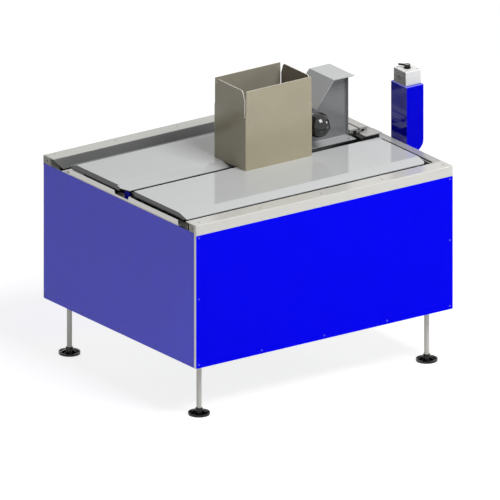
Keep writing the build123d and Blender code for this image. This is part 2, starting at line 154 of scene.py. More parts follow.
for name, way, size, share in lamps:
    lamp = bpy.data.lights.new(name, "AREA")
    lamp.shape = "SQUARE"
    lamp.size = size
    lamp.energy = share * (math.pi * distance) ** 2
    holder = bpy.data.objects.new(name, lamp)
    bpy.context.scene.collection.objects.link(holder)
    holder.location = target + way.normalized() * distance
    holder.rotation_mode = "QUATERNION"
    holder.rotation_quaternion = (-way).to_track_quat("-Z", "Y")

# The camera looks in parallel projection. The left end of the front cover's top edge is the
# point that is placed in the picture, whose pixels are counted in the photograph's 500 x 500.
azimuth = math.radians(-35.35)
elevation = math.radians(19.43)
picture = 500
pixels_per_metre = 262.32
corner_pixel = (196.04, 226.18)
stand_off = 8.0
farthest = 100.0
cover_low, cover_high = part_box("front_cover")
corner = Vector((cover_low.x, cover_low.y, cover_high.z))
back = Vector(
    (
        math.sin(azimuth) * math.cos(elevation),
        -math.cos(azimuth) * math.cos(elevation),
        math.sin(elevation),
    )
)
right = Vector((math.cos(azimuth), math.sin(azimuth), 0.0))
up = back.cross(right)
aim = corner + right * (picture / 2 - corner_pixel[0]) / pixels_per_metre
aim -= up * (picture / 2 - corner_pixel[1]) / pixels_per_metre
lens = bpy.data.cameras.new("camera")
lens.type = "ORTHO"
lens.ortho_scale = picture / pixels_per_metre
lens.clip_end = farthest
camera = bpy.data.objects.new("camera", lens)
bpy.context.scene.collection.objects.link(camera)
camera.location = aim + back * stand_off
camera.rotation_mode = "QUATERNION"
camera.rotation_quaternion = (-back).to_track_quat("-Z", "Y")
bpy.context.scene.camera = camera
bpy.context.scene.view_settings.view_transform = "Standard"


# Blue panels: sheet steel 3 mm thick with a smooth blue powder coat, screwed to the frame.
# The coat is sprayed on the outside only, an even deep blue with a soft sheen. The trimmed edges
# are bare metal, which gives the thin light lines round each panel, and the inside is dark primer.

def surface(name):
    """A new material, its node tree and its surface shader."""
    made = bpy.data.materials.new(name)
    made.use_nodes = True
    return made, made.node_tree, made.node_tree.nodes["Principled BSDF"]


def dress(names, material):
    """Gives nodes of the frame a material."""
    for name in names:
        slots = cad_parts[name].data.materials
        slots.clear()
        slots.append(material)


def soften(names, width):
    """Rounds the sharp edges of frame nodes a little, so that they catch the light."""
    for name in names:
        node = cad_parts[name]
        weld = node.modifiers.new("joined corners", "WELD")
        weld.merge_threshold = 0.01 * MM
        edge = node.modifiers.new("rounded edges", "BEVEL")
        edge.width = width * MM
        edge.segments = 2
        edge.limit_method = "ANGLE"
        edge.angle_limit = math.radians(40)
        edge.harden_normals = True


def looks(tree, way, limit=0.5):
    """1 on the faces that look along a direction, and 0 on the others."""
    normal = add(tree, "ShaderNodeNewGeometry", {}).outputs["Normal"]
    along = add(tree, "ShaderNodeVectorMath", {0: normal, 1: way}, operation="DOT_PRODUCT")
    return add(
        tree,
        "ShaderNodeMath",
        {0: along.outputs["Value"], 1: limit},
        operation="GREATER_THAN",
    ).outputs[0]


def mixed(tree, share, first, second):
    """The first colour turning into the second as the share goes from 0 to 1."""
    return add(
        tree, "ShaderNodeMix", {0: share, 6: first, 7: second}, data_type="RGBA"
    ).outputs[2]


def powder_coat(name, light, dark, outward, sheen):
    """Blue powder coat on a sheet's outside, with bare cut edges and a primed inside."""
    made, tree, shader = surface(name)
    place = add(tree, "ShaderNodeTexCoord", {}).outputs["Object"]
    # film thickness wanders over a hand's breadth, and the melted powder leaves a fine orange
    # peel of about 2 mm, drawn at 7 mm so that it shows
    cloud = add(tree, "ShaderNodeTexNoise", {"Vector": place, "Scale": 1000 / 140, "Detail": 1.0})
    blue = mixed(tree, cloud.outputs[0], linear(light), linear(dark))
    inside = looks(tree, [-part for part in outward])
    outside = looks(tree, outward)
    bare = mixed(tree, inside, linear("#c4c3be"), linear("#2d2e2f"))
    cut = add(tree, "ShaderNodeMath", {0: 1.0, 1: outside}, operation="SUBTRACT").outputs[0]
    peel = add(tree, "ShaderNodeTexNoise", {"Vector": place, "Scale": 1000 / 7, "Detail": 1.0})
    bump = add(
        tree,
        "ShaderNodeBump",
        {"Height": peel.outputs[0], "Strength": 0.04, "Distance": 0.4 * MM},
    )
    fill(
        tree,
        shader,
        {
            "Base Color": mixed(tree, outside, bare, blue),
            "Metallic": cut,
            "Roughness": 0.24,
            "IOR": 1.5,
            "Specular IOR Level": sheen,
            "Normal": bump.outputs[0],
        },
    )
    return made


upward = (0, 0, 1)
forward, backward = (0, -1, 0), (0, 1, 0)
leftward, rightward = (-1, 0, 0), (1, 0, 0)
coats = (
    ("front_panel", forward, "#0000ff", "#0000f8", 0.03),
    ("rear_panel", backward, "#0000fb", "#0000f2", 0.2),
    ("left_panel", leftward, "#0403ff", "#0302f2", 0.5),
    ("right_panel", rightward, "#0403ff", "#0302f2", 0.5),
)
for name, outward, light, dark, sheen in coats:
    dress((name,), powder_coat("blue powder coat, " + name, light, dark, outward, sheen))


# The frame: square aluminium profile 45 mm wide, and corner strips of the same metal. It is
# extruded and anodised, which gives a pale matt metal, a little warm.

made, tree, shader = surface("anodised aluminium profile")
place = add(tree, "ShaderNodeTexCoord", {}).outputs["Object"]
# the etched grain is far under a millimetre and is drawn at 3 mm
grain = add(tree, "ShaderNodeTexNoise", {"Vector": place, "Scale": 1000 / 3, "Detail": 2.0})
tone = mixed(tree, grain.outputs[0], linear("#c2c1bd"), linear("#b8b7b3"))
bump = add(
    tree, "ShaderNodeBump", {"Height": grain.outputs[0], "Strength": 0.05, "Distance": 0.2 * MM}
)
fill(
    tree,
    shader,
    {"Base Color": tone, "Metallic": 0.7, "Roughness": 0.38, "Normal": bump.outputs[0]},
)
anodised = made
profiles = [
    name
    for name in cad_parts
    if name.startswith(("post_", "top_rail_", "side_member_", "bottom_rails", "corner_strips"))
]
dress(profiles, anodised)


# Covers on the rails: folded sheet, 3 mm, with a pale grey lacquer so smooth that the top faces
# mirror the column faintly. The right cover is painted darker, as painted shade and reflection of
# the column beside it. The flange that hangs inside the rear cover is painted dark, as painted
# shade in the trench behind the rear table. The ledge along the left side is the same sheet,
# painted paler as painted light, against the shade of the tables over it.

def lacquer(name, light, dark, roughness, turned=(), limit=0.5):
    """Lacquer on folded sheet with a faint grain; faces that look the ways listed in turned get
    other colours, as painted light and shade.
    """
    made, tree, shader = surface(name)
    place = add(tree, "ShaderNodeTexCoord", {}).outputs["Object"]
    # the sheet's rolling grain runs along x: lines about 1 mm apart, drawn at 6 mm, 300 mm long
    drawn = add(
        tree, "ShaderNodeMapping", {"Vector": place, "Scale": (1000 / 300, 1000 / 6, 1000 / 6)}
    )
    grain = add(
        tree, "ShaderNodeTexNoise", {"Vector": drawn.outputs[0], "Scale": 1.0, "Detail": 2.0}
    )
    tone = mixed(tree, grain.outputs[0], linear(light), linear(dark))
    # each listed way paints its faces another tone: a paler one as painted light, a darker one as
    # painted shade
    for way, painted_tone in turned:
        tone = mixed(tree, looks(tree, way, limit), tone, linear(painted_tone))
    dull = add(
        tree,
        "ShaderNodeMapRange",
        {"Value": grain.outputs[0], "To Min": roughness * 0.8, "To Max": roughness * 1.2},
    )
    fill(
        tree,
        shader,
        {"Base Color": tone, "Roughness": dull.outputs[0], "IOR": 1.5},
    )
    return made


dress(("front_cover",), lacquer("pale grey lacquer on covers", "#dcdbd5", "#d7d6d0", 0.2))
# painted shade and reflection of the column: a darker copy of the covers' lacquer
dress(("right_cover",), lacquer("grey lacquer, right cover", "#b7b6b2", "#b1b0ac", 0.2))
# painted shade: the forward-looking flange inside the rear cover is painted dark grey
shaded_flange_faces = [(forward, "#868887")]
rear_coat = lacquer("pale grey lacquer, rear cover", "#dad9d3", "#d5d4ce", 0.2, shaded_flange_faces)
dress(("rear_cover",), rear_coat)
# painted light: the ledge is painted paler than the covers, against the shade of the tables
dress(("left_ledge",), lacquer("pale lacquer on the ledge", "#f8f6f0", "#f2f0ea", 0.3))
soften(("front_cover", "rear_cover", "right_cover"), 0.7)
soften(("left_ledge",), 0.8)


# Screws: countersunk steel with a hexagon socket, their heads nearly flush in the sheet. The
# socket is shallow, and its wall and floor are painted dark as painted shade. Each long cover
# has five, zinc plated and 9 mm across. The smaller ones round the panels wear blue caps: nine on
# the front, nine on the rear and ten on each side, pale blue as painted highlight on the front
# and rear and dark blue as painted shade on the sides.

def new_piece(name, bm, materials, body):
    """Makes a mesh into a piece of the machine that rides on a body and has a finish slot."""
    mesh = bpy.data.meshes.new(name)
    bmesh.ops.recalc_face_normals(bm, faces=bm.faces)
    for edge in bm.edges:
        edge.smooth = edge.calc_face_angle(0.0) < math.radians(40)
    bm.to_mesh(mesh)
    bm.free()
    for material in materials:
        mesh.materials.append(material)
    made = bpy.data.objects.new(name, mesh)
    bpy.context.scene.collection.objects.link(made)
    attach(made, body)
    return made


def ring(bm, radius, height, count, place):
    """A ring of vertices round the z axis of a place."""
    angles = [2 * math.pi * i / count for i in range(count)]
    return [
        bm.verts.new(place @ Vector((radius * math.cos(a), radius * math.sin(a), height)))
        for a in angles
    ]


def join_rings(bm, rings, slot=0, smooth=True):
    """Faces between rings that have as many points each."""
    for low, high in zip(rings, rings[1:]):
        for i in range(len(low)):
            j = (i + 1) % len(low)
            face = bm.faces.new((low[i], low[j], high[j], high[i]))
            face.material_index = slot
            face.smooth = smooth


def cap(bm, points, slot=0):
    """One flat face over a ring."""
    face = bm.faces.new(points)
    face.material_index = slot


def facing(point, outward):
    """A place at a point with its z axis outward."""
    turn = Vector(outward).to_track_quat("Z", "Y").to_matrix().to_4x4()
    return Matrix.Translation(point) @ turn


def screw(bm, point, outward, radius):
    """A countersunk head with a shallow socket painted dark as painted shade, set a little into the
    sheet and a little proud.
    """
    place = facing(point, outward)
    count = 24
    sunk = 0.1 * MM
    proud = 0.35 * MM
    bevel = 0.5 * MM
    socket = 0.42 * radius
    rim = [
        ring(bm, radius, -sunk, count, place),
        ring(bm, radius, proud * 0.4, count, place),
        ring(bm, radius - bevel, proud, count, place),
        ring(bm, socket, proud, count, place),
    ]
    bottom = ring(bm, socket * 0.94, 0.02 * MM, count, place)
    join_rings(bm, rim)
    # the socket's wall and floor take the second slot, the dark steel of painted shade
    join_rings(bm, [rim[-1], bottom], 1)
    cap(bm, bottom, 1)
    cap(bm, rim[0][::-1])


def even_finish(name, light, dark, size, detail, sockets):
    """A finish whose colour wanders between two, in spots of a size in mm, and is else even."""
    made, tree, shader = surface(name)
    place = add(tree, "ShaderNodeTexCoord", {}).outputs["Object"]
    spots = add(
        tree, "ShaderNodeTexNoise", {"Vector": place, "Scale": 1000 / size, "Detail": detail}
    )
    tone = mixed(tree, spots.outputs[0], linear(light), linear(dark))
    fill(tree, shader, {"Base Color": tone, **sockets})
    return made


# crystals of the plating, mottle of the caps and of the dark socket steel: about 1 mm, drawn at 2
# mm
zinc_look = {"Metallic": 1.0, "Roughness": 0.32}
zinc = even_finish("zinc plated screw steel", "#a9abab", "#8f9192", 2, 1.0, zinc_look)
# the dark steel is painted shade in the screw sockets, and the colour of the small dark screws in
# the rail caps
socket_steel_look = {"Metallic": 0.6, "Roughness": 0.5}
dark_heads_and_socket_shade = even_finish(
    "dark steel: small heads, and painted shade in sockets", "#2c2d2e", "#1d1e1f", 2, 1.0, socket_steel_look
)
cap_look = {"Roughness": 0.35, "IOR": 1.5}
# painted highlight on the caps of the front and rear panels, painted shade on the caps of the side
# panels
highlit_cap_blue = even_finish("blue screw caps with painted highlight, ends", "#6466f0", "#5557e4", 2, 1.0, cap_look)
shaded_cap_blue = even_finish("blue screw caps with painted shade, sides", "#0a0a9c", "#06068a", 2, 1.0, cap_look)

left_x, front_y, rail_z = corner
right_x = cover_high.x
rear_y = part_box("rear_cover")[1].y
panel_low, panel_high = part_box("front_panel")
side_low, side_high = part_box("left_panel")
screw_radius = 4.5 * MM
small_radius = 0.8 * screw_radius
rows = 5


def evenly(low, high):
    """Places of a row of screws, the first and the last at the ends."""
    return [low + (high - low) * i / (rows - 1) for i in range(rows)]


bm = bmesh.new()
left_inset = 34 * MM  # ends of the covers to their first and last screw
right_inset = 25 * MM
front_inset = 29 * MM  # front and rear of the body to the rows
rear_inset = 26 * MM
for x in evenly(left_x + left_inset, right_x - right_inset):
    for y in (front_y + front_inset, rear_y - rear_inset):
        screw(bm, Vector((x, y, rail_z)), upward, screw_radius)
new_piece("cover_screws", bm, (zinc, dark_heads_and_socket_shade), "machine")

bm = bmesh.new()
panel_inset = 14 * MM  # edge of a panel to its screws
panel_height = panel_high.z - panel_low.z
heights = (0.52, 0.98)  # of the screws at a panel's sides, as shares of its height
for face_y, outward in ((front_y, forward), (rear_y, backward)):
    for x in evenly(left_x + panel_inset, right_x - panel_inset):
        screw(bm, Vector((x, face_y, panel_low.z + panel_inset)), outward, small_radius)
    for x in (left_x + panel_inset, right_x - panel_inset):
        for share in heights:
            point = Vector((x, face_y, panel_low.z + share * panel_height))
            screw(bm, point, outward, small_radius)
new_piece("front_panel_screws", bm, (highlit_cap_blue, dark_heads_and_socket_shade), "machine")

bm = bmesh.new()
side_front_inset = 30 * MM
side_rear_inset = 8 * MM
top_inset = 12 * MM
for y in evenly(front_y + side_front_inset, rear_y - side_rear_inset):
    for x, way, top in ((left_x, -1, side_high.z), (right_x, 1, panel_high.z)):
        for z in (top - top_inset, side_low.z + panel_inset):
            screw(bm, Vector((x, y, z)), (way, 0, 0), small_radius)
new_piece("side_panel_screws", bm, (shaded_cap_blue, dark_heads_and_socket_shade), "machine")


# Rail end caps: thin plates of pale nylon, 3 mm, that close the four ends of the long rails
# above the side panels. Each is held by one small screw in the middle.

caps = bmesh.new()
cap_screws = bmesh.new()
bevel = 0.6 * MM
panel_gap = 0.4 * MM  # between a cap and the side panel under it
cover_gap = 0.3 * MM  # between a cap and the cover over it
back_off = 0.1 * MM  # how far a cap's face stays behind the panels' faces
cap_screw_radius = 3.4 * MM
for rail in ("top_rail_front", "top_rail_rear"):
    rail_low, rail_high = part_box(rail)
    thick = rail_low.x - left_x
    for end, way, top in ((rail_low.x, -1, side_high.z), (rail_high.x, 1, panel_high.z)):
        low_y, high_y = rail_low.y + bevel, rail_high.y - bevel
        low_z, high_z = top + panel_gap, rail_high.z - cover_gap
        loops = [
            [
                caps.verts.new((end + way * out, y, z))
                for y, z in (
                    (low_y + inset, low_z + inset),
                    (high_y - inset, low_z + inset),
                    (high_y - inset, high_z - inset),
                    (low_y + inset, high_z - inset),
                )
            ]
            for out, inset in ((0.0, 0.0), (thick - bevel, 0.0), (thick - back_off, bevel))
        ]
        join_rings(caps, loops, smooth=False)
        cap(caps, loops[-1])
        cap(caps, loops[0][::-1])
        point = Vector(
            (end + way * (thick - back_off), (low_y + high_y) / 2, (low_z + high_z) / 2)
        )
        screw(cap_screws, point, (way, 0, 0), cap_screw_radius)

# fine mould texture, about 0.3 mm, drawn at 2 mm
nylon_look = {"Roughness": 0.4, "IOR": 1.53}
pale_nylon = even_finish("moulded pale nylon", "#aeaba2", "#a4a198", 2, 1.0, nylon_look)
new_piece("rail_end_caps", caps, (pale_nylon,), "machine")
new_piece("rail_cap_screws", cap_screws, (dark_heads_and_socket_shade, dark_heads_and_socket_shade), "machine")


# Tables: two folded sheets, 3 mm, with sloping bands and side flanges, on bearers with black
# spacers. Their lacquer is glossier than the covers', so the carton and the column show in it,
# and the left flanges are painted darker as painted shade. The bearers under them are black
# oxide channels.

# painted shade: the faces that look left, the flanges, are painted dark grey
table_lacquer = lacquer(
    "glossy grey lacquer on tables", "#d2d4d4", "#cccecf", 0.10, [(leftward, "#5e605f")]
)
dress(("front_table", "rear_table"), table_lacquer)
soften(("front_table", "rear_table"), 0.8)

# cloudy oxide, patches of about 15 mm
oxide_look = {"Metallic": 0.3, "Roughness": 0.55}
black_oxide = even_finish("black oxide steel", "#232425", "#19191a", 15, 2.0, oxide_look)
dress(("table_bearers",), black_oxide)


# Plain parts of zinc plated steel sheet, bolted to the frame: the bottom pan, the corner plates
# that hold the legs' rods, the guide's bracket and the plate between the column and the body.

made, tree, shader = surface("zinc plated sheet")
place = add(tree, "ShaderNodeTexCoord", {}).outputs["Object"]
# spangle of the plating, drawn at its real 12 mm
spangle = add(tree, "ShaderNodeTexVoronoi", {"Vector": place, "Scale": 1000 / 12})
tone = mixed(tree, spangle.outputs["Distance"], linear("#9a9d9f"), linear("#84878a"))
fill(tree, shader, {"Base Color": tone, "Metallic": 0.8, "Roughness": 0.42})
dress(("bottom_pan", "corner_plates", "guide_bracket", "column_fixing_plate"), made)


# The slot between the tables: a black slide rail of acetal on its foot, with a small blue
# bracket beside it. Acetal is machined, so it is matt black with a soft highlight.

def black_plastic(name, light, dark, roughness, texture, depth):
    """Black plastic; texture is the size of its grain in mm and depth how much it shows."""
    made, tree, shader = surface(name)
    place = add(tree, "ShaderNodeTexCoord", {}).outputs["Object"]
    grain = add(
        tree, "ShaderNodeTexNoise", {"Vector": place, "Scale": 1000 / texture, "Detail": 2.0}
    )
    bump = add(
        tree,
        "ShaderNodeBump",
        {"Height": grain.outputs[0], "Strength": depth, "Distance": 0.3 * MM},
    )
    fill(
        tree,
        shader,
        {
            "Base Color": mixed(tree, grain.outputs[0], linear(light), linear(dark)),
            "Roughness": roughness,
            "IOR": 1.48,
            "Specular IOR Level": 0.4,
            "Normal": bump.outputs[0],
        },
    )
    return made


acetal = black_plastic("machined black acetal", "#1b1d1f", "#141516", 0.45, 3, 0.05)
moulded = black_plastic("moulded black nylon", "#0b0b0b", "#050506", 0.14, 4, 0.06)
dress(("slot_rail", "table_spacers"), acetal)
dress(("slot_rail_foot",), moulded)
# uneven film, patches of about 8 mm
film_look = {"Roughness": 0.5, "IOR": 1.5, "Specular IOR Level": 0.1}
bracket_blue = even_finish(
    "dark blue coat on the bracket", "#0000b4", "#0000a0", 8, 1.0, film_look
)
dress(("slot_bracket",), bracket_blue)
foot_low, foot_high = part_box("slot_rail_foot")
point = (foot_low + foot_high) / 2
head_gap = 0.2 * MM  # how far the screw's place stands off the foot
point.x = foot_low.x - head_gap
bm = bmesh.new()
screw(bm, point, leftward, small_radius)
new_piece("slot_rail_screw", bm, (zinc, dark_heads_and_socket_shade), "machine")


# The right cover's inner edge beside the front table: an extruded black angle over the edge, from
# the table's front to the beam's end plate, that stands in for the gap's shade as painted shade.

inner_low, inner_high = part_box("right_cover")
trim_front, trim_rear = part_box("front_table")[0].y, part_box("beam_end_plate")[0].y
overlap = 5.0 * MM  # on the cover's top
drop = 9.0 * MM  # down the inner face
wall = 1.5 * MM  # beside the inner face
lift = 0.8 * MM  # over the cover's top
bevel = 0.6 * MM
sunk = 0.1 * MM
section = (
    (-wall, -drop),
    (-wall, lift - bevel),
    (bevel - wall, lift),
    (overlap - bevel, lift),
    (overlap, lift - bevel),
    (overlap, -sunk),
    (sunk, -sunk),
    (sunk, -drop),
)
bm = bmesh.new()
ends = [
    [bm.verts.new((inner_low.x + x, y, inner_high.z + z)) for x, z in section]
    for y in (trim_front, trim_rear)
]
join_rings(bm, ends, smooth=False)
cap(bm, ends[0][::-1])
cap(bm, ends[1])
# painted shade: the black angle draws the dark gap between the cover and the front table
gap_shade_black = black_plastic("black angle as painted gap shade", "#1c1c1b", "#121211", 0.5, 3, 0.05)
new_piece("right_cover_gap_shade", bm, (gap_shade_black,), "machine")


# The ledge's outer edge: a lip of 2 mm aluminium sheet that stands up to just under the tables,
# ground smooth and bare. It is cut down round the slot's bracket.

ledge_low, ledge_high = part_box("left_ledge")
bracket_low, bracket_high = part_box("slot_bracket")
lip_thickness = 2 * MM
lip_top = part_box("front_table")[0].z - 1.5 * MM
lip_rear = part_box("rear_table")[1].y - 8 * MM
lip_foot = ledge_high.z - 0.1 * MM
cut_depth = 14 * MM
cut_slope = 5 * MM
cut_front = bracket_low.y - 17 * MM
cut_rear = bracket_high.y + 38 * MM
outline = (
    (lip_rear, lip_foot),
    (ledge_low.y, lip_foot),
    (ledge_low.y, lip_top),
    (cut_front - cut_slope, lip_top),
    (cut_front, lip_top - cut_depth),
    (cut_rear, lip_top - cut_depth),
    (cut_rear + cut_slope, lip_top),
    (lip_rear, lip_top),
)
bm = bmesh.new()
sides = [
    [bm.verts.new((x, y, z)) for y, z in outline]
    for x in (ledge_low.x, ledge_low.x + lip_thickness)
]
join_rings(bm, sides, smooth=False)
cap(bm, sides[0][::-1])
cap(bm, sides[1])
made, tree, shader = surface("bare aluminium sheet")
place = add(tree, "ShaderNodeTexCoord", {}).outputs["Object"]
# the grinding lines run along the lip: about 0.2 mm apart, drawn at 4 mm and 150 mm long
drawn = add(
    tree, "ShaderNodeMapping", {"Vector": place, "Scale": (1000 / 4, 1000 / 150, 1000 / 4)}
)
lines = add(tree, "ShaderNodeTexNoise", {"Vector": drawn.outputs[0], "Scale": 1.0, "Detail": 2.0})
tone = mixed(tree, lines.outputs[0], linear("#c3c2be"), linear("#bab9b5"))
fill(tree, shader, {"Base Color": tone, "Metallic": 1.0, "Roughness": 0.3})
new_piece("ledge_lip", bm, (made,), "machine")


# The guide beam: slotted aluminium profile, 80 x 40 mm, anodised, lying on the right side of
# the frame. A black nylon block closes its front end under a rounded plate of pale sheet.

dress(("guide_beam",), anodised)
block_black = black_plastic("dull black nylon block", "#0e0e0e", "#080809", 0.5, 4, 0.06)
dress(("beam_end_block",), block_black)
soften(("beam_end_block",), 1.2)

plate_low, plate_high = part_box("beam_end_plate")
middle = (plate_low + plate_high) / 2
# the left end in mm from the plate's front left corner: a rounded nose, and from there a curve
# that slants off to the rear edge
nose = 12
turns = (0.0, 0.4, 0.8, 1.2)  # radians
arc = [(2 + nose * (1 - math.sin(a)), nose * (1 - math.cos(a))) for a in turns]
slant = [(2, 14), (3, 34), (7.5, 42.5), (19, 48), (36, 53), (56, 55.9)]
outline = [(plate_low.x + x * MM, plate_low.y + y * MM) for x, y in arc + slant]
outline += [(plate_high.x, plate_high.y), (plate_high.x, plate_low.y)]
bevel = 0.6 * MM
bm = bmesh.new()
loops = []
for inset, z in (
    (bevel, plate_low.z - 0.1 * MM),
    (0.0, plate_low.z + bevel),
    (0.0, plate_high.z - bevel),
    (bevel, plate_high.z),
):
    wide = 1 - 2 * inset / (plate_high.x - plate_low.x)
    deep = 1 - 2 * inset / (plate_high.y - plate_low.y)
    loops.append(
        [
            bm.verts.new((middle.x + (x - middle.x) * wide, middle.y + (y - middle.y) * deep, z))
            for x, y in outline[::-1]
        ]
    )
join_rings(bm, loops, smooth=False)
cap(bm, loops[-1])
cap(bm, loops[0][::-1])
end_coat = lacquer("pale grey lacquer on the end plate", "#bdbbb7", "#b5b3af", 0.2)
end_plate = new_piece("rounded_end_plate", bm, (end_coat,), "machine")
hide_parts("beam_end_plate")


# The side guide: an upright plate with a forward lip, and a folded hood on top, of sheet 3 mm
# thick with a smooth grey lacquer. What looks up, and the plate's faces that look left, are
# painted paler as painted light; the rest keeps a darker grey as painted shade.

# painted light: the plate's faces that look up and left are paler
plate_lit_faces = [(upward, "#bcbebf"), (leftward, "#a2a4a6")]
guide_coat = lacquer("dark grey lacquer on the guide", "#7d7f81", "#757779", 0.12, plate_lit_faces)
# painted light: the hood's top is paler than its other faces
hood_lit_faces = [(upward, "#d0d2d1")]
hood_coat = lacquer("grey lacquer on the hood", "#aaacad", "#a2a4a5", 0.16, hood_lit_faces, 0.9)
dress(("guide_plate",), guide_coat)
dress(("guide_hood",), hood_coat)
soften(("guide_plate", "guide_hood"), 0.7)
guide_low, guide_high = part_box("guide_plate")
sheet = 3 * MM
bm = bmesh.new()
for inset in (22 * MM, 180 * MM):
    point = Vector((guide_high.x - inset, guide_low.y + 16 * MM, guide_low.z + sheet))
    screw(bm, point, upward, screw_radius)
new_piece("guide_screws", bm, (zinc, dark_heads_and_socket_shade), "machine")


# The ball handle: a pressed and polished black phenolic ball, 100 mm across, with a flat where
# its steel bush sits, screwed on a turned stud. Polished phenolic mirrors the lamps sharply.

ball_low, ball_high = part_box("guide_knob")
radius = (ball_high.x - ball_low.x) / 2
middle = (ball_low + ball_high) / 2
middle.y = ball_low.y + radius
flat_angle = math.acos((ball_high.y - middle.y) / radius)
flat = radius * math.cos(flat_angle)
bush_radius = 11 * MM
stud_radius = 8.2 * MM
chamfer = 0.6 * MM  # of the bush, towards the stud
groove = 0.25 * MM  # depth of the mould's parting line round the middle
groove_angle = 0.02  # half its width, in radians
steps = 40
count = 96
place = facing(middle, backward)
bm = bmesh.new()
rings = []
for i in range(1, steps + 1):
    angle = math.pi - (math.pi - flat_angle) * i / steps
    dent = groove * math.exp(-((angle - math.pi / 2) / groove_angle) ** 2)
    wide, high = (radius - dent) * math.sin(angle), radius * math.cos(angle)
    rings.append(ring(bm, wide, high, count, place))
join_rings(bm, rings)
pole = bm.verts.new(place @ Vector((0, 0, -radius)))
for i in range(count):
    face = bm.faces.new((pole, rings[0][(i + 1) % count], rings[0][i]))
    face.smooth = True
rim = ring(bm, bush_radius, flat, count, place)
inner = ring(bm, stud_radius, flat - chamfer, count, place)
join_rings(bm, [rings[-1], rim], smooth=False)
join_rings(bm, [rim, inner], 1, smooth=False)
cap(bm, inner, 1)

made, tree, shader = surface("polished black phenolic")
place = add(tree, "ShaderNodeTexCoord", {}).outputs["Object"]
# flow marks of the pressed resin, about 20 mm, barely there
flow = add(tree, "ShaderNodeTexNoise", {"Vector": place, "Scale": 1000 / 20, "Detail": 3.0})
tone = mixed(tree, flow.outputs[0], linear("#141415"), linear("#0b0b0c"))
shine = add(tree, "ShaderNodeMapRange", {"Value": flow.outputs[0], "To Min": 0.05, "To Max": 0.1})
fill(tree, shader, {"Base Color": tone, "Roughness": shine.outputs[0], "IOR": 1.6})
ball = new_piece("ball_handle", bm, (made, zinc), "machine")
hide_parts("guide_knob")

# mottle of the turned skin, about 0.3 mm, drawn at 3 mm
turned_look = {"Metallic": 0.25, "Roughness": 0.34}
turned = even_finish("turned bright steel", "#cdcbc4", "#bfbdb6", 3, 2.0, turned_look)
dress(("knob_stem",), turned)


# The carton: one blank of corrugated board, 4 mm, folded into a tube with rounded corners and
# glued at one seam, its bottom flaps shut and its four top flaps upright. The smooth outer
# liner has a slight gloss, and every cut edge shows the paler board with its flutes.

box_low, box_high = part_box("carton_front")
x0, x1, y0, y1 = box_low.x, box_high.x, box_low.y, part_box("carton_rear")[1].y
bottom_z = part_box("carton_bottom")[0].z
side_flap_low, side_flap_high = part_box("carton_left")
board = box_high.y - box_low.y
fold_z = box_high.z - 104 * MM
corner_radius = 4.5 * MM
inner_radius = corner_radius - board + 1 * MM


def rounded_loop(bm, low_x, high_x, low_y, high_y, radius, z, count=6):
    """A level loop of vertices: a rectangle with rounded corners."""
    corners = (
        (high_x - radius, high_y - radius, 0),
        (low_x + radius, high_y - radius, 1),
        (low_x + radius, low_y + radius, 2),
        (high_x - radius, low_y + radius, 3),
    )
    points = []
    for x, y, quarter in corners:
        for i in range(count + 1):
            a = (quarter + i / count) * math.pi / 2
            points.append(bm.verts.new((x + radius * math.cos(a), y + radius * math.sin(a), z)))
    return points


def sheet_piece(bm, outline, place, depth, near_slot, far_slot):
    """A flat piece of board: an outline in (s, t) and a depth, set up in space by a place."""
    near = [bm.verts.new(place(s, t, 0.0)) for s, t in outline]
    far = [bm.verts.new(place(s, t, depth)) for s, t in outline]
    cap(bm, near[::-1], near_slot)
    cap(bm, far, far_slot)
    join_rings(bm, [near, far], 1, smooth=False)


def rounded_top(half, low, high, taper, taper_height, radius):
    """A flap's outline, symmetric about s = 0, with tapered sides and rounded top corners."""
    corner = Vector((half - taper, high))
    shoulder = Vector((half, high - taper_height))
    down = (shoulder - corner).normalized()
    turn = math.acos(max(-1.0, min(1.0, -down.x)))
    cut = radius * math.tan((math.pi - turn) / 2)
    start = corner + down * cut
    centre = start + Vector((down.y, -down.x)) * radius
    first = math.atan2(start.y - centre.y, start.x - centre.x)
    arc = []
    for i in range(9):
        a = first + (math.pi / 2 - first) * i / 8
        arc.append((centre.x + radius * math.cos(a), centre.y + radius * math.sin(a)))
    right_side = [(half, low), (half, high - taper_height), *arc]
    return right_side + [(-s, t) for s, t in right_side[::-1]]


bm = bmesh.new()
outer = [rounded_loop(bm, x0, x1, y0, y1, corner_radius, z) for z in (box_low.z, fold_z)]
inner = [
    rounded_loop(bm, x0 + board, x1 - board, y0 + board, y1 - board, inner_radius, z)
    for z in (fold_z, box_low.z)
]
join_rings(bm, outer)
join_rings(bm, [outer[1], inner[0]], 1, smooth=False)
join_rings(bm, inner, 2)
join_rings(bm, [inner[1], outer[0]], 1, smooth=False)

mid_x, mid_y = (x0 + x1) / 2, (y0 + y1) / 2
bottom_gap = 0.8 * MM  # half the gap between the two bottom flaps
bottom_thickness = board * 0.95
for low_y, high_y in ((y0 + board, mid_y - bottom_gap), (mid_y + bottom_gap, y1 - board)):
    outline = [
        (x0 + board, low_y), (x1 - board, low_y), (x1 - board, high_y), (x0 + board, high_y)
    ]
    sheet_piece(bm, outline, lambda s, t, d: Vector((s, t, bottom_z + d)), bottom_thickness, 0, 2)

flap_height = box_high.z - fold_z
fold_gap = 0.12 * MM  # from the fold up to a flap's full thickness
crease_depth = 0.3 * MM  # how far the pressed board at the fold reaches down into the wall
pressed = 1.2 * MM  # how far it is pressed in from either face
relief = 4 * MM  # a flap is this much shorter at each end than its side of the box
long_half = (x1 - x0) / 2 - relief
short_half = (side_flap_high.y - side_flap_low.y) / 2 - relief
# sides taper by 0.5 mm over 20 mm and by 14 mm over 40 mm
long_flap = rounded_top(long_half, fold_gap, flap_height, 0.5 * MM, 20 * MM, 2.5 * MM)
short_flap = rounded_top(short_half, fold_gap, flap_height, 14 * MM, 40 * MM, 14 * MM)


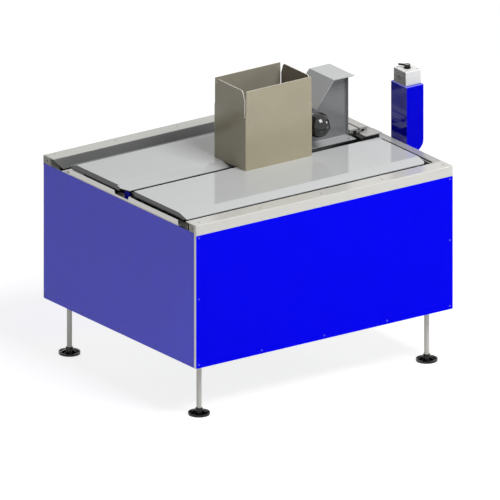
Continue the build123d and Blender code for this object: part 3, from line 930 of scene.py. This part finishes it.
def flap(bm, outline, half, place, near_slot, far_slot):
    """One flap, and the pressed board at the fold that joins it to the box."""
    sheet_piece(bm, outline, place, board, near_slot, far_slot)
    crease = [(-half, -crease_depth), (half, -crease_depth), (half, fold_gap), (-half, fold_gap)]
    sheet_piece(
        bm,
        crease,
        lambda s, t, d: place(s, t, pressed + d),
        board - 2 * pressed,
        near_slot,
        far_slot,
    )


for y, near_slot, far_slot in ((y0, 0, 2), (y1 - board, 2, 0)):
    flap(
        bm,
        long_flap,
        long_half,
        lambda s, t, d: Vector((mid_x + s, y + d, fold_z + t)),
        near_slot,
        far_slot,
    )
for x, near_slot, far_slot in ((x0, 0, 2), (x1 - board, 2, 0)):
    flap(
        bm,
        short_flap,
        short_half,
        lambda s, t, d: Vector((x + d, mid_y + s, fold_z + t)),
        near_slot,
        far_slot,
    )


def board_liner(name, light, dark, roughness):
    """Kraft paper of corrugated board, with its fibres upright."""
    made, tree, shader = surface(name)
    place = add(tree, "ShaderNodeTexCoord", {}).outputs["Object"]
    # wood fibres: flecks 2 mm wide and 9 mm long, and soft cloudiness over 90 mm
    drawn = add(
        tree, "ShaderNodeMapping", {"Vector": place, "Scale": (1000 / 2, 1000 / 2, 1000 / 9)}
    )
    fibre = add(
        tree, "ShaderNodeTexNoise", {"Vector": drawn.outputs[0], "Scale": 1.0, "Detail": 3.0}
    )
    cloud = add(tree, "ShaderNodeTexNoise", {"Vector": place, "Scale": 1000 / 90, "Detail": 1.0})
    both = add(
        tree, "ShaderNodeMath", {0: fibre.outputs[0], 1: cloud.outputs[0]}, operation="MULTIPLY"
    )
    bump = add(
        tree,
        "ShaderNodeBump",
        {"Height": fibre.outputs[0], "Strength": 0.06, "Distance": 0.3 * MM},
    )
    fill(
        tree,
        shader,
        {
            "Base Color": mixed(tree, both.outputs[0], linear(light), linear(dark)),
            "Roughness": roughness,
            "IOR": 1.5,
            "Normal": bump.outputs[0],
        },
    )
    return made


liner = board_liner("outer kraft liner", "#aaa28a", "#99917b", 0.18)
inner_liner = board_liner("inner kraft liner", "#999385", "#8a8477", 0.5)

# flutes about 8 mm apart show in the cut as pale and dark spots of 4 mm
edge_look = {"Roughness": 0.8, "IOR": 1.4}
raw_edge = even_finish(
    "raw cut edge of corrugated board", "#f6f1e4", "#ddd5c0", 4, 1.0, edge_look
)
carton = new_piece("folded_carton", bm, (liner, raw_edge, inner_liner), "carton")
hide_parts("carton_front", "carton_rear", "carton_left", "carton_right", "carton_bottom")


# The control column: a blue box section, 78 x 104 mm, with a bevelled top and a rounded lower
# corner, bolted beside the right cover through a plate. Its sides are glossy and painted a darker
# blue as painted shade, the front has the dull coat of the front panel, and the bevelled edges
# that look left, front and up are painted pale blue as painted highlight.

made, tree, shader = surface("blue coat on the column")
place = add(tree, "ShaderNodeTexCoord", {}).outputs["Object"]
# film thickness wanders over about 60 mm
cloud = add(tree, "ShaderNodeTexNoise", {"Vector": place, "Scale": 1000 / 60, "Detail": 1.0})
# painted shade: the sides are a darker blue than the front
shaded_side_blue = mixed(tree, cloud.outputs[0], linear("#0404b2"), linear("#0202a0"))
blue = mixed(tree, cloud.outputs[0], linear("#0000dc"), linear("#0000d4"))
highlit_way = (-0.577, -0.577, 0.577)  # the way that the corner of left, front and top looks
edges = looks(tree, highlit_way, 0.7)
# painted highlight: the bevels that look left, front and up are pale blue
pale = linear("#7f7fff")
fill(
    tree,
    shader,
    {
        "Base Color": mixed(tree, edges, shaded_side_blue, pale),
        "Roughness": 0.06,
        "IOR": 1.5,
        "Specular IOR Level": 0.7,
    },
)
dull = add(
    tree,
    "ShaderNodeBsdfPrincipled",
    {
        "Base Color": mixed(tree, edges, blue, pale),
        "Roughness": 0.24,
        "IOR": 1.5,
        "Specular IOR Level": 0.03,
    },
)
both = add(
    tree,
    "ShaderNodeMixShader",
    {0: looks(tree, forward), 1: shader.outputs[0], 2: dull.outputs[0]},
)
fill(tree, tree.nodes["Material Output"], {"Surface": both.outputs[0]})
dress(("control_column",), made)
soften(("control_column",), 2.5)


# The switch on the column: a moulded pale grey box in two halves with a seam, two cover screws
# and round knock-outs. A black lever turns on a collar, and a pale cap closes its head.

box_low, box_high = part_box("switch_box")
height = box_high.z - box_low.z
seam_height = 0.66 * height
seam = 0.7 * MM  # half the width of the seam's groove
corner_radius = 2.5 * MM
# how far the outline lies in, and its height over the box's foot
shape = (
    (0.0, 0.0),
    (0.0, seam_height - seam),
    (0.4 * MM, seam_height - 0.4 * seam),
    (0.4 * MM, seam_height + 0.4 * seam),
    (0.0, seam_height + seam),
    (0.0, height - 3.0 * MM),
    (0.9 * MM, height - 0.9 * MM),
    (2.0 * MM, height),
)
bm = bmesh.new()
loops = [
    rounded_loop(
        bm,
        box_low.x + inset,
        box_high.x - inset,
        box_low.y + inset,
        box_high.y - inset,
        corner_radius,
        box_low.z + z,
    )
    for inset, z in shape
]
join_rings(bm, loops)
cap(bm, loops[-1])
cap(bm, loops[0][::-1])

centre = (box_low + box_high) / 2
half_width, half_depth = (box_high.x - box_low.x) / 2, (box_high.y - box_low.y) / 2
knock_out_height = 0.46 * height
count = 40
for way, reach in ((leftward, half_width), (rightward, half_width), (backward, half_depth)):
    point = Vector((centre.x, centre.y, box_low.z + knock_out_height))
    place = facing(point + Vector(way) * reach, way)
    # a knock-out's raised ring, and the slope inside it in black, as painted shade of its groove
    foot = ring(bm, 8.8 * MM, -0.1 * MM, count, place)
    crest = ring(bm, 8.4 * MM, 0.3 * MM, count, place)
    inner = ring(bm, 5.8 * MM, 0.05 * MM, count, place)
    join_rings(bm, [foot, crest])
    join_rings(bm, [crest, inner], 1)

made, tree, shader = surface("moulded pale grey ABS")
place = add(tree, "ShaderNodeTexCoord", {}).outputs["Object"]
# spark-eroded mould texture, about 0.3 mm, drawn at 1.5 mm
grain = add(tree, "ShaderNodeTexNoise", {"Vector": place, "Scale": 1000 / 1.5, "Detail": 1.0})
tone = mixed(tree, grain.outputs[0], linear("#e2e3e3"), linear("#dadbda"))
# painted shade and light: the left face is painted a darker grey, and the top paler
tone = mixed(tree, looks(tree, leftward), tone, linear("#939491"))
tone = mixed(tree, looks(tree, upward), tone, linear("#fbfbfa"))
bump = add(
    tree, "ShaderNodeBump", {"Height": grain.outputs[0], "Strength": 0.06, "Distance": 0.2 * MM}
)
fill(
    tree,
    shader,
    {"Base Color": tone, "Roughness": 0.35, "IOR": 1.53, "Normal": bump.outputs[0]},
)
housing = new_piece("switch_housing", bm, (made, moulded), "machine")
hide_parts("switch_box")

bm = bmesh.new()
bolt_x, bolt_y, bolt_radius = 26 * MM, 30 * MM, 3.4 * MM
for x, y in ((-bolt_x, bolt_y), (bolt_x, -bolt_y)):
    screw(bm, Vector((centre.x + x, centre.y + y, box_high.z)), upward, bolt_radius)
new_piece("switch_cover_screws", bm, (zinc, dark_heads_and_socket_shade), "machine")

switch_black = black_plastic("glossy black switch plastic", "#0c0c0c", "#060607", 0.18, 3, 0.03)
dress(("switch_collar", "switch_lever"), switch_black)
soften(("switch_collar", "switch_lever"), 0.8)

hub_low, hub_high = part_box("switch_collar")
hub = (hub_low + hub_high) / 2
recess = 2.5 * MM  # depth of the recess in the lever's head, which the pale cap fills
hub.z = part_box("switch_lever")[1].z - recess
place = Matrix.Translation(hub)
count = 32
# the cap's radius and height in mm, from its foot to the middle of its domed top
shape = ((7.6, -0.1), (7.6, 1.6), (7.0, 2.1), (5.0, 2.35), (2.5, 2.45))
bm = bmesh.new()
dome = [ring(bm, radius * MM, z * MM, count, place) for radius, z in shape]
join_rings(bm, dome)
cap(bm, dome[-1])
cap(bm, dome[0][::-1])
new_piece("switch_lever_cap", bm, (pale_nylon,), "switch_lever")


# Legs: steel rods 20 mm thick, and levelling feet of black nylon, 84 mm across, moulded with
# eight ribs round a domed hub. The nylon is glossy, so its rim and ribs catch the lamps.

rods = [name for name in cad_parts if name.startswith("leg_rod_")]
feet = [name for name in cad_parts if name.startswith("foot_")]
dress(rods, turned)
dress(feet, moulded)
soften(feet, 0.6)

low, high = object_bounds()
